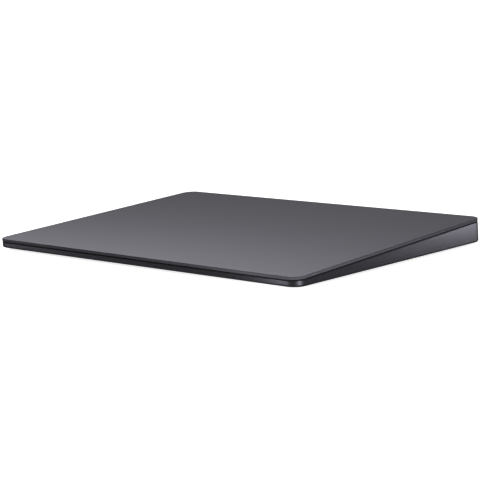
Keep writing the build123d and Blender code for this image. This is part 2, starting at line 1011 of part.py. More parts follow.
def board_connectors():
    """Return the plugs on the board: battery, touch ribbon and the gauges' ribbons."""
    plugs = layer(battery_plug_outline(), board_top, board_top + battery_plug_height)
    plugs += layer(touch_plug_outline(), board_top, board_top + touch_plug_height)
    y = ribbon_end_y() + gauge_plug_depth / 2
    for side in (-1, 1):
        shape = Pos(side * ribbon_x, y) * Rectangle(gauge_plug_length, gauge_plug_depth)
        plugs += layer(shape, board_top, board_top + gauge_plug_height)
    return plugs


def board_screws():
    """Return the screws of the logic board."""
    grip = board_thickness + screw_grip
    return Part() + [
        pan_screw(Plane.XY.offset(board_top) * Pos(*place), grip)
        for place in board_screw_places
    ]


def touch_flex_cable():
    """Return the ribbon from the sensor board's plug down to the logic board."""
    end_y = board_front + touch_plug_inset
    start_y = end_y - touch_ribbon_reach
    x = (touch_plug_share - 1 / 2) * board_core_length
    plug_drop = stiffener_drop + touch_plug_height + moving_gap
    start_height = deck_height(start_y, plug_drop)
    end_height = board_top + touch_plug_height
    middle = (start_height + end_height) / 2
    room = ribbon_bend_share * (start_height - end_height)
    path = FilletPolyline(
        (x, start_y, start_height),
        (x, start_y, middle),
        (x, end_y, middle),
        (x, end_y, end_height),
        radius=min(touch_ribbon_bend, room),
    )
    end = Plane(path @ 0, x_dir=(1, 0, 0), z_dir=path % 0)
    return sweep(end * Rectangle(touch_ribbon_width, ribbon_thickness), path)


# Ribbons of the gauges

ribbon_x = inner_side - ribbon_wall_gap - ribbon_width / 2


def ribbon_end_y():
    """Return where the gauges' ribbons end on the board."""
    return board_end_front + ribbon_board_lap


def gauge_flex_cables():
    """Return the ribbons: over each leaf, down its boss, back along the web and up."""
    rise_end = board_end_front - ribbon_board_gap
    under = [
        (middle_y + leaf_front_v - ribbon_width / 2, web_top),
        (rise_end - ribbon_rise_length, web_top),
        (rise_end, board_top),
        (ribbon_end_y(), board_top),
    ]
    over = [(y, height + ribbon_thickness) for y, height in reversed(under)]
    section = make_face(Polyline(*under, *over, close=True))
    cables = Part() + [
        extrude(Plane.YZ.offset(side * ribbon_x) * section, ribbon_width / 2, both=True)
        for side in (-1, 1)
    ]
    gauge_end = tongue_root - gauge_root_gap
    reach = ribbon_x - leaf_x + ribbon_thickness / 2
    over = span(gauge_end, reach, ribbon_width)
    down = span(reach - ribbon_thickness, reach, ribbon_width)
    top = leaf_drop - ribbon_thickness
    cables += slab(every_leaf(over), top, leaf_drop)
    drops = slab(every_leaf(down), top, 2 * rear_height) & above(web_top)
    return cables + drops


# Charging port


def port_mouth_y():
    """Return Y at the port's mouth, just inside the rear wall's face."""
    return wall_y(port_height) - shell_recess


def port_plane(y):
    """Return the plane across the port at Y, facing out of the rear wall."""
    return Plane((0, y, port_height), x_dir=(-1, 0, 0), z_dir=(0, 1, 0))


def shell_bore():
    """Return the section inside the port's shell."""
    sheet = 2 * shell_sheet
    return SlotOverall(shell_width - sheet, shell_height - sheet)


def charge_port_shell():
    """Return the drawn metal shell of the port, open at both ends."""
    ring = SlotOverall(shell_width, shell_height) - shell_bore()
    return extrude(port_plane(port_mouth_y()) * ring, -shell_length)


def charge_port_tongue():
    """Return the moulding in the shell with the contact tongue on it."""
    back = port_mouth_y() - shell_length
    gap = 2 * (shell_sheet + moulding_gap)
    block = SlotOverall(shell_width - gap, shell_height - gap)
    moulding = extrude(port_plane(back) * block, moulding_length)
    length = shell_length - tongue_setback
    blade = Rectangle(tongue_width, tongue_thickness)
    return moulding + extrude(port_plane(back) * blade, length)


def charge_port_contacts():
    """Return the two rows of contacts on the tongue."""
    tip = port_mouth_y() - tongue_setback - contact_setback
    reach = tongue_thickness + 2 * contact_thickness
    rows = Sketch() + [
        Pos((number - (contact_count - 1) / 2) * contact_pitch, 0)
        * Rectangle(contact_width, reach)
        for number in range(contact_count)
    ]
    rows -= Rectangle(tongue_width, tongue_thickness)
    return extrude(port_plane(tip) * rows, -contact_length)


def charge_port_bracket():
    """Return the strap over the port's shell with a foot on the board at each side."""
    inner_top = port_height + shell_height / 2
    inner_half = shell_width / 2 + port_board_gap
    outer_half = inner_half + strap_sheet
    middle_z = (board_top + inner_top + strap_sheet) / 2
    arch = Pos(0, middle_z) * Rectangle(
        2 * outer_half, inner_top + strap_sheet - board_top
    )
    inside_z = (board_top + inner_top) / 2
    arch -= Pos(0, inside_z) * Rectangle(2 * inner_half, inner_top - board_top)
    foot_z = board_top + strap_sheet / 2
    for side in (-1, 1):
        x = side * (outer_half + strap_foot_length / 2)
        arch += Pos(x, foot_z) * Rectangle(strap_foot_length, strap_sheet)
    face = Plane((0, strap_rear(), 0), x_dir=(1, 0, 0), z_dir=(0, -1, 0))
    strap = extrude(face * arch, strap_depth)
    holes = screw_holes(strap_screw_places())
    return strap - layer(holes, board_top - cut_overrun, board_top + cut_overrun)


def strap_rear():
    """Return Y at the rear edge of the port's strap."""
    return board_rear - strap_setback


def strap_screw_places():
    """Return the places of the two screws in the strap's feet."""
    outer_half = shell_width / 2 + port_board_gap + strap_sheet
    y = strap_rear() - strap_depth / 2
    return [(way * (outer_half + strap_foot_length / 2), y) for way in (-1, 1)]


# Power switch


def switch_plane(out=0):
    """Return the plane of the switch on the rear wall, moved outwards by a distance."""
    return rear_plane(switch_centre_x, port_height).offset(out)


def bezel_bore():
    """Return the outline of the slider's track."""
    return SlotOverall(bezel_length - 2 * bezel_rim, bezel_height - 2 * bezel_rim)


def stem_track():
    """Return the slot that the slider's stem travels in."""
    length = stem_length + switch_travel + 2 * stem_gap
    return Pos(0, stem_lift) * Rectangle(length, stem_height + 2 * stem_gap)


def patch_outline():
    """Return the patch that the slider uncovers when it is on."""
    edge = bezel_rim + patch_gap
    floor = SlotOverall(bezel_length - 2 * edge, bezel_height - 2 * edge)
    start = (stem_length + switch_travel) / 2 + stem_gap + patch_gap
    return floor & span(start, bezel_length / 2, bezel_height)


def switch_bezel():
    """Return the track's pill-shaped moulding that fills the opening in the wall."""
    body = extrude(switch_plane() * SlotOverall(bezel_length, bezel_height), -wall)
    body -= extrude(switch_plane() * bezel_bore(), -bezel_recess)
    body -= extrude(switch_plane() * stem_track(), -wall)
    floor = switch_plane(-bezel_recess)
    return body - extrude(floor * patch_outline(), -patch_thickness)


def switch_on_patch():
    """Return the coloured patch on the track's floor."""
    return extrude(switch_plane(-bezel_recess) * patch_outline(), -patch_thickness)


def switch_slider():
    """Return the slider at its off end, with grip grooves and the stem behind it."""
    height = bezel_height - 2 * bezel_rim - 2 * slider_side_gap
    rest = Pos(switch_travel / 2, 0)
    face = switch_plane(-slider_setback)
    thickness = bezel_recess - slider_setback - slider_floor_gap
    cap = extrude(face * (rest * SlotOverall(slider_length, height)), -thickness)
    front = cap.faces().sort_by(Axis((0, 0, 0), rear_normal))[-1]
    cap = chamfer(front.edges(), slider_edge_cut)
    grips = Sketch() + [
        rest * Pos((number - (grip_count - 1) / 2) * grip_pitch, 0)
        * Rectangle(grip_width, bezel_height)
        for number in range(grip_count)
    ]
    cap -= extrude(face * grips, -grip_depth)
    stem = rest * Pos(0, stem_lift) * Rectangle(stem_length, stem_height)
    back = switch_plane(-slider_setback - thickness)
    length = wall + stem_reach - slider_setback - thickness
    return cap + extrude(back * stem, -length)


def switch_body():
    """Return the switch on the board, with the track for the slider's stem."""
    rear = board_rear - switch_body_setback
    shape = Pos(switch_centre_x, rear - switch_body_depth / 2)
    body = layer(
        shape * Rectangle(switch_body_length, switch_body_depth),
        board_top,
        board_top + switch_body_height,
    )
    return body - extrude(switch_plane() * stem_track(), -wall - stem_reach - stem_gap)


# Antenna


def carrier_ends():
    """Return X at both ends of the antenna's carrier."""
    start = board_end_screw_x + screw_head_radius + carrier_screw_gap
    return start, ribbon_x - gauge_plug_length / 2 - carrier_end_gap


def carrier_outline(inset=0):
    """Return the carrier's outline on the board, drawn in by an inset."""
    start, end = carrier_ends()
    y = board_rear - board_end_depth / 2
    shape = Rectangle(end - start - 2 * inset, carrier_depth - 2 * inset)
    return Pos((start + end) / 2, y) * shape


def carrier_top():
    """Return the height of the carrier's top, clear of the pressed plate."""
    front_edge = board_rear - (board_end_depth + carrier_depth) / 2
    return deck_height(front_edge, gel_drop + press_travel) - carrier_plate_gap


def antenna_carrier():
    """Return the hollow plastic block that lifts the antenna towards the glass."""
    top = carrier_top()
    block = layer(carrier_outline(), board_top, top)
    hollow = carrier_outline(carrier_sheet)
    return block - layer(hollow, board_top - cut_overrun, top - carrier_sheet)


def antenna_element():
    """Return the F-shaped foil on top of the carrier."""
    start, end = carrier_ends()
    length = end - start - 2 * antenna_inset
    depth = carrier_depth - 2 * antenna_inset
    spine = Pos(0, (depth - antenna_track) / 2) * Rectangle(length, antenna_track)
    outline = spine
    for x in (-(length - antenna_track) / 2, -(length - antenna_track) / 4):
        outline += Pos(x, 0) * Rectangle(antenna_track, depth)
    y = board_rear - board_end_depth / 2
    top = carrier_top()
    return layer(Pos((start + end) / 2, y) * outline, top, top + antenna_thickness)


def all_nodes():
    """Return every piece of the trackpad by name."""
    nodes = {
        "housing": housing(),
        "bottom_cover": bottom_cover(),
        "cover_adhesive": cover_adhesive(),
        "seam_gasket": seam_gasket(),
        "travel_stops": travel_stops(),
        "touch_glass": touch_glass(),
        "glass_adhesive": glass_adhesive(),
        "sensor_board": sensor_board(),
        "stiffener_plate": stiffener_plate(),
        "touch_controller_chips": touch_controller_chips(),
        "touch_shield": touch_shield(),
        "flex_connector": flex_connector(),
        "touch_flex_cable": touch_flex_cable(),
        "strain_gauges": strain_gauges(),
        "flexure_screws": flexure_screws(),
        "gauge_flex_cables": gauge_flex_cables(),
        "actuator_bracket": actuator_bracket(),
        "actuator_core": actuator_core(),
        "actuator_screws": actuator_screws(),
        "attraction_rail": attraction_rail(),
        "rail_bracket": rail_bracket(),
        "rail_screws": rail_screws(),
        "battery_cell": battery_cell(),
        "battery_tape": battery_tape(),
        "battery_protection_board": battery_protection_board(),
        "battery_lead": battery_lead(),
        "logic_board": logic_board(),
        "logic_chips": logic_chips(),
        "logic_shield": logic_shield(),
        "board_connectors": board_connectors(),
        "board_screws": board_screws(),
        "charge_port_shell": charge_port_shell(),
        "charge_port_tongue": charge_port_tongue(),
        "charge_port_contacts": charge_port_contacts(),
        "charge_port_bracket": charge_port_bracket(),
        "switch_bezel": switch_bezel(),
        "switch_on_patch": switch_on_patch(),
        "switch_slider": switch_slider(),
        "switch_body": switch_body(),
        "antenna_carrier": antenna_carrier(),
        "antenna_element": antenna_element(),
    }
    for name, place in foot_places().items():
        nodes[name] = foot(place)
    for name, (side, v) in corners.items():
        nodes["force_flexure_" + name] = force_flexure(side, v)
        nodes["gel_pad_" + name] = gel_pad(side, v)
    for number, v in enumerate(pole_places):
        nodes["actuator_coil_" + str(number + 1)] = actuator_coil(v)
    return nodes


os.makedirs("parts", exist_ok=True)
for node_name, shape in all_nodes().items():
    export_step(shape, "parts/" + node_name + ".step")
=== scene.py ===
import math

import bmesh
import bpy
from mathutils import Matrix, Vector


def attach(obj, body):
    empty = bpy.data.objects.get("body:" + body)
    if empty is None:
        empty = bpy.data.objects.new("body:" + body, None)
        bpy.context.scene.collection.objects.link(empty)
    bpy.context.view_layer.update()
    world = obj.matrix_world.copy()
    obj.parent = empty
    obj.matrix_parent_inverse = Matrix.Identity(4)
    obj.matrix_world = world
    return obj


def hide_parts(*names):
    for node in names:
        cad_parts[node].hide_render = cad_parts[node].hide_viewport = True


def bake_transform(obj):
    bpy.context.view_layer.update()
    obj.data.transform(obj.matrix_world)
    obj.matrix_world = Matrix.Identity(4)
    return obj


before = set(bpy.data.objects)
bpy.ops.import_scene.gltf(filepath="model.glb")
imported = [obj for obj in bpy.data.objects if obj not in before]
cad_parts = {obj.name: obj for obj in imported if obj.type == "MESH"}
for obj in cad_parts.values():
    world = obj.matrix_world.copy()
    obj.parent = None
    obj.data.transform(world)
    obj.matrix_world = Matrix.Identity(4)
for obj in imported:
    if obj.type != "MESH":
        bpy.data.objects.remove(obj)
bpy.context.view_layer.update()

MM = 0.001

# Camera at the photograph's angle, in degrees and mm
CAMERA_AZIMUTH = 42.33
CAMERA_ELEVATION = 9.354
CAMERA_ROLL = -1.844
CAMERA_OFFSET = (1.6205, 1.6563, 613.78)
CAMERA_AIM_HEIGHT = 1.2
CAMERA_LENS = 114.385
SENSOR_WIDTH = 36.0
CLIP_START = 10.0

# Floor, with its size in metres, and the level of the world's light
FLOOR_SIZE = 60.0
FLOOR_ALBEDO = 0.8
FLOOR_GLOW = 0.8
WORLD_LIGHT = 0.34

# Light panels: place and target, width and height in mm, and power in watts
PANELS = {
    "key": ((0, -135, 85), (0, -20, 5), 320, 40, 0.412),
    "overhead": ((0, 0, 500), (0, 0, 5), 500, 400, 0.46),
    "bar_near": ((58, -82, 1.6), (78, -57, 1.6), 12, 2.6, 0.018),
    "bar_front": ((42, -112, 2.4), (82, -57, 2.4), 20, 4, 0.052),
    "bar_front_left": ((-134, -116, 3), (-78, -57, 3), 30, 5, 0.1),
    "bar_corner": ((262, -106, 4), (80, -55, 4), 90, 7, 2.5),
    "bar_right": ((160, 146, 3.4), (80, 54, 3.4), 64, 6, 0.42),
    "bar_left": ((-256, -20, 5), (-78, -55, 3), 50, 9, 0.2),
    "fill_rear": ((-40, 260, 30), (0, 57, 5), 260, 30, 0.25),
}

# The touch plate, as the frame has it, in mm
PLATE_TILT = math.radians(3.0)
PLATE_MIDDLE = (0.0, -0.2334, 7.8961)
PLATE_WIDTH = 160.0
PLATE_DEPTH = 114.5
PLATE_CORNER = 5.0
PLATE_THICKNESS = 1.1
PLATE_ROUND = 0.25
PLATE_CHAMFER = 0.1
PLATE_RIM = 4 * PLATE_ROUND
CORNER_STEPS = 20
ROUND_STEPS = 6

# The touch plate's slots: its top, its edge and its back
PLATE_SLOTS = ("touch_surface", "glass_edge", "black_film")
TOP, EDGE, BACK = range(3)
SHARP_TURN = 35
FLAT_FACE_WEIGHT = 100

# The force sensors' tongues (X), in mm
TONGUE_ROOT = 70.0
TONGUE_REST = 66.0
TONGUE_TIP = 60.0
TONGUE_HALF_DEPTH = 3.2
TONGUE_SLOT = 0.8
BEND_STEPS = 8
WELD = 0.0005

# Brushed materials: colour and roughness
BRUSHED = {
    "steel": ((0.56, 0.56, 0.58), 0.3),
    "screw_steel": ((0.34, 0.34, 0.36), 0.35),
    "gold": ((0.80, 0.55, 0.20), 0.25),
}

# Grained materials: colour, metal, roughness, spread in tone, grain per metre
# and depth of relief in mm
GRAINED = {
    "black_film": ((0.006, 0.006, 0.006), 0, 0.55, 0.2, 2000.0, 0.004),
    "chip": ((0.014, 0.014, 0.015), 0, 0.5, 0.25, 5000.0, 0.01),
    "iron": ((0.12, 0.12, 0.125), 0.9, 0.45, 0.15, 1500.0, 0.02),
    "tape": ((0.55, 0.55, 0.52), 0, 0.7, 0.08, 900.0, 0.02),
    "dark_plastic": ((0.011, 0.011, 0.012), 0, 0.42, 0.15, 4000.0, 0.01),
    "pale_plastic": ((0.55, 0.53, 0.46), 0, 0.5, 0.06, 3000.0, 0.01),
    "on_green": ((0.02, 0.38, 0.05), 0, 0.35, 0.1, 3000.0, 0.004),
}
GRAINS_PER_CLOUD = 40
GLOSS_SPREAD = 0.05


# Node helpers


class Shader:
    """A material under construction, with short calls for its nodes."""

    def __init__(self, name):
        self.material = bpy.data.materials.new(name)
        self.material.use_nodes = True
        self.tree = self.material.node_tree
        self.tree.nodes.clear()
        self.output = self.add("ShaderNodeOutputMaterial")
        self.bsdf = self.add("ShaderNodeBsdfPrincipled")
        self.link(self.bsdf.outputs["BSDF"], self.output.inputs["Surface"])
        self.coords = self.add("ShaderNodeTexCoord").outputs["Object"]

    def add(self, kind):
        return self.tree.nodes.new(kind)

    def link(self, source, target):
        self.tree.links.new(source, target)

    def set(self, **values):
        for name, value in values.items():
            self.bsdf.inputs[name.replace("_", " ")].default_value = value

    def mapped(self, scale=(1, 1, 1), turn=(0, 0, 0)):
        """Return the object's own coordinates, stretched and turned."""
        node = self.add("ShaderNodeMapping")
        node.inputs["Scale"].default_value = scale
        node.inputs["Rotation"].default_value = turn
        self.link(self.coords, node.inputs["Vector"])
        return node.outputs["Vector"]

    def noise(self, scale, detail=3.0, stretch=(1, 1, 1)):
        node = self.add("ShaderNodeTexNoise")
        node.inputs["Scale"].default_value = scale
        node.inputs["Detail"].default_value = detail
        self.link(self.mapped(stretch), node.inputs["Vector"])
        return node.outputs["Fac"]

    def cells(self, scale):
        node = self.add("ShaderNodeTexVoronoi")
        node.inputs["Scale"].default_value = scale
        self.link(self.mapped(), node.inputs["Vector"])
        return node.outputs["Distance"]

    def waves(self, scale, turn=(0, 0, 0), distortion=0.0, profile="SIN"):
        node = self.add("ShaderNodeTexWave")
        node.wave_profile = profile
        node.inputs["Scale"].default_value = scale
        node.inputs["Distortion"].default_value = distortion
        self.link(self.mapped(turn=turn), node.inputs["Vector"])
        return node.outputs["Fac"]

    def remap(self, source, low, high, start=0.0, end=1.0):
        """Return a value that goes from low to high as the source goes start to end."""
        node = self.add("ShaderNodeMapRange")
        node.inputs["From Min"].default_value = start
        node.inputs["From Max"].default_value = end
        node.inputs["To Min"].default_value = low
        node.inputs["To Max"].default_value = high
        self.link(source, node.inputs["Value"])
        return node.outputs["Result"]

    def times(self, first, second):
        node = self.add("ShaderNodeMath")
        node.operation = "MULTIPLY"
        self.link(first, node.inputs[0])
        self.link(second, node.inputs[1])
        return node.outputs["Value"]

    def blend(self, factor, first, second):
        """Return a colour between two, by a factor."""
        node = self.add("ShaderNodeValToRGB")
        node.color_ramp.elements[0].color = (*first, 1)
        node.color_ramp.elements[1].color = (*second, 1)
        self.link(factor, node.inputs["Fac"])
        return node.outputs["Color"]

    def colour(self, source):
        self.link(source, self.bsdf.inputs["Base Color"])

    def roughness(self, source):
        self.link(source, self.bsdf.inputs["Roughness"])

    def bump(self, source, depth_mm):
        node = self.add("ShaderNodeBump")
        node.inputs["Distance"].default_value = depth_mm * MM
        self.link(source, node.inputs["Height"])
        self.link(node.outputs["Normal"], self.bsdf.inputs["Normal"])


def tinted(colour, factor):
    """Return a colour made lighter or darker."""
    return tuple(min(1.0, value * factor) for value in colour)


def grained_material(name, colour, metal, rough, spread, grain, depth):
    """Return a material with a fine grain in gloss and relief, and cloudy tone."""
    shader = Shader(name)
    shader.set(Metallic=metal)
    fine = shader.noise(grain)
    cloud = shader.noise(grain / GRAINS_PER_CLOUD, 2.0)
    dark, light = tinted(colour, 1 - spread), tinted(colour, 1 + spread)
    shader.colour(shader.blend(cloud, dark, light))
    shader.roughness(shader.remap(fine, rough - GLOSS_SPREAD, rough + GLOSS_SPREAD))
    shader.bump(fine, depth)
    return shader.material


# Materials of what shows


def glass_material():
    """Etched dark grey touch glass: a fine even tooth and a slow drift in tone."""
    shader = Shader("touch_surface")
    shader.set(Specular_IOR_Level=0.0)
    drift = shader.noise(14.0, 2.0)
    shader.colour(shader.blend(drift, (0.110, 0.108, 0.121), (0.118, 0.116, 0.130)))
    tooth = shader.noise(9000.0, 2.0)
    shader.roughness(shader.remap(tooth, 0.7, 0.8))
    shader.bump(tooth, 0.004)
    return shader.material


def glass_edge_material():
    """The plate's inked edge, which doesn't mirror the light panels."""
    shader = Shader("glass_edge")
    shader.set(Specular_IOR_Level=0.0)
    ink = shader.noise(300.0, 3.0)
    dark, light = (0.0107, 0.0105, 0.0125), (0.0139, 0.0137, 0.0162)
    shader.colour(shader.blend(ink, dark, light))
    shader.roughness(shader.remap(ink, 0.3, 0.4))
    return shader.material


def anodised_material():
    """Dark grey anodised aluminium with a fine bead blast, dull at low angles."""
    shader = Shader("anodised_housing")
    shader.set(Metallic=1.0, Specular_Tint=(0.5, 0.5, 0.5, 1))
    blast = shader.cells(5200.0)
    cloud = shader.noise(60.0, 2.0)
    dark, light = (0.0102, 0.0100, 0.0118), (0.0115, 0.0113, 0.0132)
    shader.colour(shader.blend(cloud, dark, light))
    shader.roughness(shader.remap(blast, 0.26, 0.34))
    shader.bump(blast, 0.006)
    return shader.material


def rubber_material(name, colour):
    """Moulded rubber with a matt, slightly dusty face."""
    shader = Shader(name)
    shader.set(Specular_IOR_Level=0.3)
    dust = shader.noise(700.0, 5.0)
    shader.colour(shader.blend(dust, tinted(colour, 0.8), tinted(colour, 1.3)))
    shader.roughness(shader.remap(dust, 0.7, 0.85))
    shader.bump(shader.noise(4000.0), 0.02)
    return shader.material


def foam_with_painted_seam_shade_material():
    """Black closed-cell foam, made darker than real foam as painted shade in the seam
    between plate and housing.
    """
    shader = Shader("foam")
    shader.set(Specular_IOR_Level=0.02, Roughness=0.95)
    pores = shader.cells(6000.0)
    # Near-black tones, below real foam, paint the shade of the seam between plate and
    # housing
    dark, light = (0.0015, 0.0015, 0.0015), (0.0035, 0.0035, 0.0035)
    shader.colour(shader.blend(pores, dark, light))
    shader.bump(pores, 0.03)
    return shader.material


# Materials of what is inside


def board_material():
    """Solder mask with tracks that show through it."""
    shader = Shader("circuit_board")
    shader.set(Roughness=0.35)
    tracks = shader.times(
        shader.waves(900.0, distortion=3.0, profile="TRI"),
        shader.waves(700.0, turn=(0, 0, math.pi / 4), distortion=2.0, profile="TRI"),
    )
    raised = shader.remap(tracks, 0.0, 1.0, 0.35, 0.5)
    shader.colour(shader.blend(raised, (0.006, 0.016, 0.014), (0.016, 0.040, 0.034)))
    shader.bump(raised, 0.02)
    return shader.material


def brushed_material(name, colour, rough):
    """Stamped or turned metal with brushing along X."""
    shader = Shader(name)
    shader.set(Metallic=1.0)
    lines = shader.noise(900.0, 4.0, stretch=(0.05, 1, 1))
    shader.colour(shader.blend(lines, tinted(colour, 0.85), tinted(colour, 1.1)))
    shader.roughness(shader.remap(lines, rough - 0.08, rough + 0.12))
    shader.bump(lines, 0.008)
    return shader.material


def gel_material():
    """Clear silicone pad, a little cloudy inside."""
    shader = Shader("gel")
    shader.set(Transmission_Weight=0.7, IOR=1.41)
    cloud = shader.noise(800.0, 4.0)
    shader.colour(shader.blend(cloud, (0.62, 0.67, 0.72), (0.78, 0.82, 0.86)))
    shader.roughness(shader.remap(cloud, 0.12, 0.3))
    return shader.material


def ribbon_material():
    """Amber film over rows of copper tracks."""
    shader = Shader("ribbon")
    shader.set(Roughness=0.3, Coat_Weight=0.4)
    rows = shader.remap(shader.waves(1100.0), 0.0, 1.0, 0.4, 0.6)
    shader.colour(shader.blend(rows, (0.30, 0.12, 0.025), (0.52, 0.27, 0.07)))
    shader.bump(rows, 0.015)
    return shader.material


def winding_material():
    """Varnished copper wire wound in turns along X."""
    shader = Shader("copper")
    shader.set(Metallic=0.9, Coat_Weight=0.5)
    turns = shader.waves(1500.0)
    shader.colour(shader.blend(turns, (0.22, 0.07, 0.02), (0.66, 0.27, 0.11)))
    shader.roughness(shader.remap(turns, 0.45, 0.25))
    shader.bump(turns, 0.08)
    return shader.material


def pouch_material():
    """Silver laminate with the soft dents of a pouch cell."""
    shader = Shader("pouch")
    shader.set(Metallic=0.75)
    dents = shader.noise(120.0, 3.0)
    fine = shader.noise(2500.0, 2.0)
    shader.colour(shader.blend(fine, (0.42, 0.43, 0.45), (0.54, 0.55, 0.57)))
    shader.roughness(shader.remap(dents, 0.3, 0.45))
    shader.bump(dents, 0.15)
    return shader.material


def make_materials():
    """Return the material for each of the record's slots."""
    materials = {
        "anodised_housing": anodised_material(),
        "touch_surface": glass_material(),
        "glass_edge": glass_edge_material(),
        "foam": foam_with_painted_seam_shade_material(),
        "rubber_foot": rubber_material("rubber_foot", (0.016, 0.016, 0.017)),
        "circuit_board": board_material(),
        "gel": gel_material(),
        "ribbon": ribbon_material(),
        "copper": winding_material(),
        "pouch": pouch_material(),
    }
    for name, facts in BRUSHED.items():
        materials[name] = brushed_material(name, *facts)
    for name, facts in GRAINED.items():
        materials[name] = grained_material(name, *facts)
    return materials


def dress_nodes(materials):
    """Give each CAD node the material of its slot."""
    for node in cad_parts.values():
        for place in node.material_slots:
            place.material = materials[place.material.name]


# Pieces built here


def add_object(name, data):
    """Add an object with its data to the scene."""
    thing = bpy.data.objects.new(name, data)
    bpy.context.scene.collection.objects.link(thing)
    return thing


def rounded_outline(width, depth, radius):
    """Return the points of a rounded rectangle, counter-clockwise from above."""
    points = []
    for quarter in range(4):
        start = quarter * math.pi / 2
        side_x = 1 if quarter in (0, 3) else -1
        side_y = 1 if quarter in (0, 1) else -1
        for step in range(CORNER_STEPS + 1):
            angle = start + step / CORNER_STEPS * math.pi / 2
            x = side_x * (width / 2 - radius) + radius * math.cos(angle)
            y = side_y * (depth / 2 - radius) + radius * math.sin(angle)
            points.append((x, y))
    return points


def plate_point(x, v, drop):
    """Return a point of the tilted plate in the frame, in metres."""
    middle = Vector(PLATE_MIDDLE)
    up_slope = Vector((0, math.cos(PLATE_TILT), math.sin(PLATE_TILT)))
    normal = Vector((0, -math.sin(PLATE_TILT), math.cos(PLATE_TILT)))
    return (middle + Vector((x, 0, 0)) + up_slope * v - normal * drop) * MM


def plate_profile():
    """Return inset and drop of each ring of the plate, from its top to its back."""
    rings = [(PLATE_RIM, 0.0)]
    for step in range(ROUND_STEPS + 1):
        angle = step / ROUND_STEPS * math.pi / 2
        inset = PLATE_ROUND * (1 - math.sin(angle))
        drop = PLATE_ROUND * (1 - math.cos(angle))
        rings.append((inset, drop))
    rings.append((0.0, PLATE_THICKNESS - PLATE_CHAMFER))
    rings.append((PLATE_CHAMFER, PLATE_THICKNESS))
    return rings


def add_touch_plate(materials):
    """Add the touch plate with its fine round edge in place of the coarse one."""
    rings = plate_profile()
    vertices = []
    for inset, drop in rings:
        outline = rounded_outline(
            PLATE_WIDTH - 2 * inset, PLATE_DEPTH - 2 * inset, PLATE_CORNER - inset
        )
        vertices += [plate_point(x, v, drop) for x, v in outline]
    count = len(vertices) // len(rings)
    faces = [tuple(range(count))]
    slots = [TOP]
    for ring in range(len(rings) - 1):
        for step in range(count):
            after = (step + 1) % count
            low, high = (ring + 1) * count, ring * count
            faces.append((low + step, low + after, high + after, high + step))
            slots.append(TOP if ring == 0 else EDGE)
    last = (len(rings) - 1) * count
    faces.append(tuple(reversed(range(last, last + count))))
    slots.append(BACK)
    mesh = bpy.data.meshes.new("touch_plate")
    mesh.from_pydata([tuple(point) for point in vertices], [], faces)
    for name in PLATE_SLOTS:
        mesh.materials.append(materials[name])
    for face, slot in zip(mesh.polygons, slots):
        face.material_index = slot
    plate = add_object("touch_plate", mesh)
    smooth_with_sharp(plate)
    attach(plate, "platen")
    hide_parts("touch_glass")


def welded(node):
    """Return the mesh of a CAD node for editing, with its doubled points merged."""
    work = bmesh.new()
    work.from_mesh(node.data)
    work.transform(node.matrix_world)
    bmesh.ops.remove_doubles(work, verts=work.verts, dist=WELD * MM)
    return work


def cut_across(work, x):
    """Cut a mesh through at an x in mm and keep both sides."""
    everything = work.verts[:] + work.edges[:] + work.faces[:]
    bmesh.ops.bisect_plane(
        work,
        geom=everything,
        dist=WELD * MM,
        plane_co=(x * MM, 0, 0),
        plane_no=(1, 0, 0),
    )


def cut_for_bend(work, side):
    """Cut a mesh across from the tongue's root to where it lies under the pad."""
    reach = TONGUE_ROOT - TONGUE_REST
    for step in range(BEND_STEPS + 1):
        cut_across(work, side * (TONGUE_ROOT - reach * step / BEND_STEPS))


def add_part(name, work, wanted, material):
    """Add a piece of the faces whose middle is wanted, closed where it was cut."""
    part = work.copy()
    spare = [face for face in part.faces if not wanted(face.calc_center_median() / MM)]
    bmesh.ops.delete(part, geom=spare, context="FACES")
    rims = [edge for edge in part.edges if edge.is_boundary]
    bmesh.ops.holes_fill(part, edges=rims)
    bmesh.ops.recalc_face_normals(part, faces=part.faces)
    for face in part.faces:
        face.smooth = False
        face.material_index = 0
    mesh = bpy.data.meshes.new(name)
    part.to_mesh(mesh)
    part.free()
    mesh.materials.clear()
    mesh.materials.append(material)
    return add_object(name, mesh)


def bend_with_pad(piece):
    """Bake a piece's place into its mesh."""
    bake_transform(piece)


def add_force_sensor(corner, side, steel):
    """Split a steel leaf at its tongue's root into a tongue and a frame."""
    name = "force_flexure_" + corner
    work = welded(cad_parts[name])
    depths = [vertex.co.y for vertex in work.verts]
    middle = (min(depths) + max(depths)) / 2 / MM
    cut_for_bend(work, side)

    def in_tongue(point):
        return (
            TONGUE_TIP - TONGUE_SLOT / 2 < abs(point.x) < TONGUE_ROOT - WELD
            and abs(point.y - middle) < TONGUE_HALF_DEPTH + TONGUE_SLOT / 2
        )

    def in_frame(point):
        return not in_tongue(point)

    tongue = add_part("leaf_tongue_" + corner, work, in_tongue, steel)
    bend_with_pad(tongue)
    clamp = add_part("leaf_frame_" + corner, work, in_frame, steel)
    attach(clamp, "base")
    work.free()
    for piece in (tongue, clamp):
        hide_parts(name)


def add_gauges(label, side, film):
    """Add the strain gauges of one side, cut across where the tongues are cut."""
    work = welded(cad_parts["strain_gauges"])
    cut_for_bend(work, side)

    def on_side(point):
        return point.x * side > 0

    gauges = add_part("strain_gauges_" + label, work, on_side, film)
    work.free()
    bend_with_pad(gauges)
    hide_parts("strain_gauges")


def add_force_sensors(materials):
    """Add the force sensors' leaves and gauges."""
    for label, side in (("left", -1), ("right", 1)):
        for row in ("front_", "rear_"):
            add_force_sensor(row + label, side, materials["steel"])
        add_gauges(label, side, materials["ribbon"])


def add_touch_ribbon(materials):
    """Add the sensor board's ribbon as a piece of its own."""
    work = welded(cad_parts["touch_flex_cable"])
    ribbon = add_part("touch_ribbon", work, lambda point: True, materials["ribbon"])
    work.free()
    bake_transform(ribbon)
    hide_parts("touch_flex_cable")


